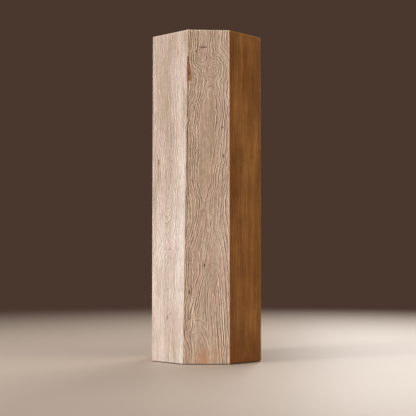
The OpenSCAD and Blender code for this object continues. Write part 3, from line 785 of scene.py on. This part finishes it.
def plywood(name):
    sh = Shade(name)
    z = sh.node("ShaderNodeSeparateXYZ", None, Vector=sh.place()).outputs[2]
    ply = sh.m("FRACT", sh.m("MULTIPLY", z, 1 / 0.0028))
    stripe = sh.ramp(ply, [(0.0, srgb(196, 160, 116)), (0.48, srgb(206, 172, 128)), (0.52, srgb(150, 108, 70)), (0.96, srgb(164, 122, 82))])
    fib = sh.noise(sh.place(scale=(1, 0.06, 1)), 420.0, 4.0, 0.6)
    blot = sh.noise(sh.place(), 22.0, 3.0, 0.6)
    sheet = sh.mix(fib, srgb(222, 192, 150), srgb(196, 158, 112))
    sheet = sh.mix(sh.m("MULTIPLY", blot, 0.4), sheet, srgb(186, 146, 102))
    up = sh.m("ABSOLUTE", sh.node("ShaderNodeSeparateXYZ", None, Vector=sh.node("ShaderNodeNewGeometry").outputs["Normal"]).outputs[2])
    flat = sh.ramp(up, [(0.55, 0.0), (0.75, 1.0)])
    sh.put(sh.bsdf.inputs["Base Color"], sh.mix(flat, stripe, sheet))
    sh.put(sh.bsdf.inputs["Roughness"], sh.m("MULTIPLY_ADD", fib, 0.2, 0.58))
    sh.put(sh.bsdf.inputs["Normal"], sh.bump(fib, 0.3, 0.0003))
    return sh.mat


def beech(name):
    sh = Shade(name)
    fib = sh.noise(sh.place(scale=(1, 1, 0.05)), 600.0, 4.0, 0.6)
    fleck = sh.ramp(sh.noise(sh.place(scale=(1, 1, 0.3)), 900.0, 1.0, 0.5), [(0.0, 1.0), (0.36, 1.0), (0.42, 0.0)])
    base = sh.mix(fib, srgb(218, 176, 136), srgb(190, 142, 102))
    base = sh.mix(sh.m("MULTIPLY", fleck, 0.5), base, srgb(150, 102, 70))
    sh.put(sh.bsdf.inputs["Base Color"], base)
    sh.put(sh.bsdf.inputs["Roughness"], sh.m("MULTIPLY_ADD", fib, 0.2, 0.5))
    sh.put(sh.bsdf.inputs["Normal"], sh.bump(fib, 0.25, 0.0002))
    return sh.mat


def metal(name, colour, rough, brushed=0.3, tarnish=0.3):
    sh = Shade(name)
    fine = sh.noise(sh.place(scale=(1, 1, 0.2)), 2600.0, 3.0, 0.6)
    blot = sh.noise(sh.place(), 160.0, 4.0, 0.65)
    base = sh.mix(sh.m("MULTIPLY", blot, tarnish), colour, scaled(colour, 0.55))
    sh.put(sh.bsdf.inputs["Base Color"], base)
    sh.bsdf.inputs["Metallic"].default_value = 1.0
    r = sh.m("MULTIPLY_ADD", fine, brushed, rough - brushed * 0.5)
    sh.put(sh.bsdf.inputs["Roughness"], sh.m("ADD", r, sh.m("MULTIPLY", blot, 0.12), clamp=True))
    sh.put(sh.bsdf.inputs["Normal"], sh.bump(fine, 0.15, 0.00008))
    return sh.mat


def lacquer(name, colour):
    sh = Shade(name)
    peel = sh.noise(sh.place(), 900.0, 2.0, 0.5)
    blot = sh.noise(sh.place(), 60.0, 4.0, 0.6)
    sh.put(sh.bsdf.inputs["Base Color"], sh.mix(sh.m("MULTIPLY", blot, 0.6), colour, scaled(colour, 2.2)))
    sh.put(sh.bsdf.inputs["Roughness"], sh.m("MULTIPLY_ADD", blot, 0.25, 0.35))
    sh.put(sh.bsdf.inputs["Normal"], sh.bump(peel, 0.25, 0.0001))
    return sh.mat


def moulded(name, colour, rough, grain_size):
    sh = Shade(name)
    tex = sh.noise(sh.place(), grain_size, 3.0, 0.6)
    dust = sh.noise(sh.place(), 120.0, 4.0, 0.6)
    sh.put(sh.bsdf.inputs["Base Color"], sh.mix(sh.m("MULTIPLY", dust, 0.35), colour, scaled(colour, 3.0)))
    sh.put(sh.bsdf.inputs["Roughness"], sh.m("MULTIPLY_ADD", tex, 0.2, rough - 0.1))
    sh.put(sh.bsdf.inputs["Normal"], sh.bump(tex, 0.3, 0.0001))
    return sh.mat


SLOT_MATS = {
    "birch_ply": plywood("birch_ply_look"),
    "beech": beech("beech_look"),
    "zinc_steel": metal("zinc_look", (0.60, 0.61, 0.64), 0.38),
    "black_steel": lacquer("black_lacquer_look", (0.012, 0.012, 0.013)),
    "nylon": moulded("nylon_look", (0.012, 0.012, 0.012), 0.48, 1500.0),
    "sole_rubber": moulded("rubber_look", (0.022, 0.022, 0.023), 0.8, 900.0),
}
slot_of = {s["node"]: s["material_slot"] for s in frame["record"]["subparts"]}
for node, ob in NODES.items():
    mat = SLOT_MATS.get(slot_of[node])
    if mat is None:
        continue
    for sl in ob.material_slots:
        sl.material = mat

# ---------------------------------------------------------------- top panel: three boards edge to edge


def wood_flat(name, light, dark, groove, shift):
    """A flat board top: rings, tone and joint lines from the mesh, fibres along Y."""
    sh = Shade(name)
    fib = sh.noise(sh.place(scale=(1, 0.045, 1), location=(shift, 0, 0)), 850.0, 5.0, 0.62)
    streak = sh.noise(sh.place(scale=(1, 0.03, 1), location=(0, shift, 0)), 190.0, 3.0, 0.55)
    pores = sh.noise(sh.place(scale=(1, 0.10, 1), location=(0, shift, 0)), 1500.0, 2.0, 0.5)
    pore_mask = sh.ramp(pores, [(0.0, 1.0), (0.34, 1.0), (0.43, 0.0), (1.0, 0.0)])
    base = sh.mix(sh.attr("tone"), light, dark)
    base = sh.mix(sh.m("MULTIPLY", sh.attr("cut"), 0.7, clamp=True), base, groove)
    base = sh.mix(sh.m("MULTIPLY", sh.attr("cut2"), 0.3, clamp=True), base, groove)
    var = sh.m("MULTIPLY", sh.m("MULTIPLY_ADD", fib, 0.3, 0.85), sh.m("MULTIPLY_ADD", streak, 0.26, 0.87))
    var_col = sh.node("ShaderNodeCombineColor", None, i0=var, i1=var, i2=var).outputs[0]
    base = sh.mix(1.0, base, var_col, "MULTIPLY")
    base = sh.mix(sh.m("MULTIPLY", pore_mask, 0.3), base, scaled(groove, 0.6))
    base = sh.mix(sh.attr("joint"), base, scaled(groove, 0.35))
    sh.put(sh.bsdf.inputs["Base Color"], base)
    sh.put(sh.bsdf.inputs["Roughness"], sh.m("MULTIPLY_ADD", fib, 0.2, 0.48))
    sh.bsdf.inputs["Specular IOR Level"].default_value = 0.35
    sh.put(sh.bsdf.inputs["Normal"], sh.bump(sh.m("SUBTRACT", sh.m("MULTIPLY", fib, 0.6), pore_mask), 0.4, 0.0003))
    return sh.mat


def octagon_solid(name, profile, per_side, shape, mats, mat_of):
    """profile: rows of (apothem, z, tag) from the top centre round to the bottom centre; shape(x, y, row tag) gives dz and attributes."""
    m = per_side
    ang = []
    for k in range(8):
        base = math.radians(22.5 + 45 * k)
        c0 = np.array([math.cos(base), math.sin(base)]) / C
        c1 = np.array([math.cos(base + math.pi / 4), math.sin(base + math.pi / 4)]) / C
        for q in range(m):
            ang.append(c0 + (c1 - c0) * q / m)
    ang = np.array(ang)
    na = len(ang)
    co, tags = [], []
    for a, z, tag in profile:
        co.append(np.column_stack([ang * a, np.full(na, z)]))
        tags += [tag] * na
    nj = len(profile)
    top_c, bottom_c = nj * na, nj * na + 1
    co = np.concatenate(co + [np.array([[0, 0, profile[0][1]], [0, 0, profile[-1][1]]])])
    tags = np.array(tags + [profile[0][2], profile[-1][2]])
    dz, attrs = shape(co[:, 0], co[:, 1], tags)
    co[:, 2] += dz + out_of_level(co[:, 0], co[:, 2])
    jj, ii = np.meshgrid(np.arange(nj - 1), np.arange(na), indexing="ij")
    i2 = (ii + 1) % na
    quads = np.stack([jj * na + ii, (jj + 1) * na + ii, (jj + 1) * na + i2, jj * na + i2], -1).reshape(-1, 4)
    faces = list(quads)
    mat = list(np.repeat([mat_of(profile[j][2], profile[j + 1][2]) for j in range(nj - 1)], na))
    for q in range(na):
        faces.append(np.array([top_c, q, (q + 1) % na]))
        mat.append(0)
        faces.append(np.array([bottom_c, (nj - 1) * na + (q + 1) % na, (nj - 1) * na + q]))
        mat.append(mat_of("under", "under"))
    return make_object(name, co, faces, mats, mat, attrs)


BOARD_X = (-41.0, 47.0)


def panel_shape(x, y, tags):
    which = np.searchsorted(BOARD_X, x)
    dz = np.zeros_like(x)
    attrs = {k: np.zeros_like(x) for k in ("cut", "cut2", "tone", "joint")}
    for b, (mid, seed, tone) in enumerate(((-92, 301, 0.30), (3, 317, 0.62), (90, 331, 0.42))):
        sel = which == b
        # rings of a plain-sawn board: steep at its sides, wide in its middle
        s, zz = x[sel] - mid, y[sel] + 450 + 120 * b
        sw = s + 5 * noise(zz / 150, s / 60, seed) + 1.2 * noise(zz / 36, s / 12, seed + 1)
        rings = np.hypot(sw, 14) + 0.06 * (zz - 450) + 3.0 * noise(zz / 90, s / 40, seed + 2)
        ph = rings / 6.0
        off = (ph - np.round(ph)) * 6.0 / np.clip(np.abs(sw) / np.hypot(sw, 14), 0.15, 1)
        cut = np.where(off < 0, np.exp(-((off / 0.6) ** 2)), np.exp(-((off / 1.6) ** 2))) * np.clip(0.6 + 0.5 * noise(zz / 40, s / 7, seed + 3), 0, 1)
        attrs["cut"][sel] = cut
        attrs["cut2"][sel] = np.clip(noise(zz / 30, s / 3.0, seed + 4), 0, 1)
        attrs["tone"][sel] = np.clip(tone + 0.3 * noise(zz / 120, s / 30, seed + 5), 0, 1)
        dz[sel] = -0.12 * cut - 0.04
    for xb in BOARD_X:
        j = np.exp(-(((x - xb) / 0.7) ** 2))
        attrs["joint"] = np.maximum(attrs["joint"], j * 0.8)
        dz -= 0.12 * j
    top = tags == "top"
    dz = np.where(top, dz, 0.0)
    return dz, attrs


pa = PANEL_A
rows = [(r, Z1, "top") for r in np.linspace(2.0, pa - 1.4, 92)]
for q in np.linspace(0, 1, 5)[1:]:
    e = q * math.pi / 2
    rows.append((pa - 1.2 + 1.2 * math.sin(e), Z1 - 1.2 * (1 - math.cos(e)), "edge"))
rows += [(pa, z, "edge") for z in np.linspace(Z1 - 1.2, Z_TOP + 0.6, 5)[1:]]
rows += [(pa - 0.6, Z_TOP, "under")]
rows += [(r, Z_TOP, "under") for r in np.linspace(pa - 0.6, 2.0, 8)[1:]]
flat_mat = wood_flat("top_panel_face", srgb(214, 186, 160), srgb(182, 142, 106), srgb(130, 94, 66), 0.6)
panel = octagon_solid("wood_top_panel", rows, 44, panel_shape,
                      [flat_mat, wood_sawn("top_panel_under", srgb(190, 160, 132), srgb(150, 114, 84), 5.0)],
                      lambda a, b: 1 if "under" in (a, b) else 0)
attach(panel, "column")
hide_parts("top_panel")

# ---------------------------------------------------------------- stage

BACK = srgb(74, 55, 46)


def stage_floor():
    sh = Shade("floor_look")
    sep = sh.place()
    length = sh.node("ShaderNodeVectorMath", {"operation": "LENGTH"}, i0=sep).outputs["Value"]
    away = sh.ramp(sh.m("MULTIPLY", length, 0.2), [(0.14, 0.0), (0.62, 1.0)], "EASE")
    soft = sh.noise(sh.place(), 3.0, 3.0, 0.5)
    col = sh.mix(sh.m("MULTIPLY", soft, 0.25), srgb(206, 192, 178), srgb(188, 172, 158))
    sh.put(sh.bsdf.inputs["Base Color"], col)
    sh.bsdf.inputs["Roughness"].default_value = 0.55
    sh.bsdf.inputs["Specular IOR Level"].default_value = 0.3
    em = sh.node("ShaderNodeEmission", None, Color=(*BACK, 1), Strength=1.0)
    mixer = sh.nt.nodes.new("ShaderNodeMixShader")
    sh.nt.links.new(away, mixer.inputs[0])
    sh.nt.links.new(sh.bsdf.outputs[0], mixer.inputs[1])
    sh.nt.links.new(em.outputs[0], mixer.inputs[2])
    sh.nt.links.new(mixer.outputs[0], sh.out.inputs[0])
    return sh.mat


me = bpy.data.meshes.new("floor")
ring = [(12 * math.cos(a), 12 * math.sin(a), 0.0) for a in np.linspace(0, 2 * math.pi, 97)[:-1]]
me.from_pydata(ring, [], [list(range(96))])
me.materials.append(stage_floor())
floor = bpy.data.objects.new("floor", me)
bpy.context.scene.collection.objects.link(floor)

world = bpy.data.worlds.new("world")
world.use_nodes = True
bpy.context.scene.world = world
world.node_tree.nodes["Background"].inputs[0].default_value = (*BACK, 1)
world.node_tree.nodes["Background"].inputs[1].default_value = 1.0


def area(name, where, look_at, size, power, colour):
    data = bpy.data.lights.new(name, "AREA")
    data.shape = "RECTANGLE"
    data.size, data.size_y = size
    data.energy = power
    data.color = colour
    ob = bpy.data.objects.new(name, data)
    ob.location = where
    ob.rotation_euler = (Vector(look_at) - Vector(where)).to_track_quat("-Z", "Y").to_euler()
    bpy.context.scene.collection.objects.link(ob)
    return ob


area("key", (-2.95, -1.75, 0.75), (0, 0, 0.35), (0.8, 1.2), 118, (1.0, 1.0, 0.99))
area("fill", (2.6, -1.6, 1.2), (0, 0, 0.4), (2.4, 2.4), 25, (1.0, 0.87, 0.66))
area("back", (1.3, 2.9, 1.5), (0, 0, 0.45), (1.6, 1.6), 60, (1.0, 0.98, 0.95))
area("overhead", (-0.4, -0.6, 3.0), (0, 0, 0.6), (2.5, 2.5), 38, (1.0, 0.99, 0.98))

bpy.context.scene.view_settings.view_transform = "Standard"
bpy.context.scene.view_settings.look = "None"
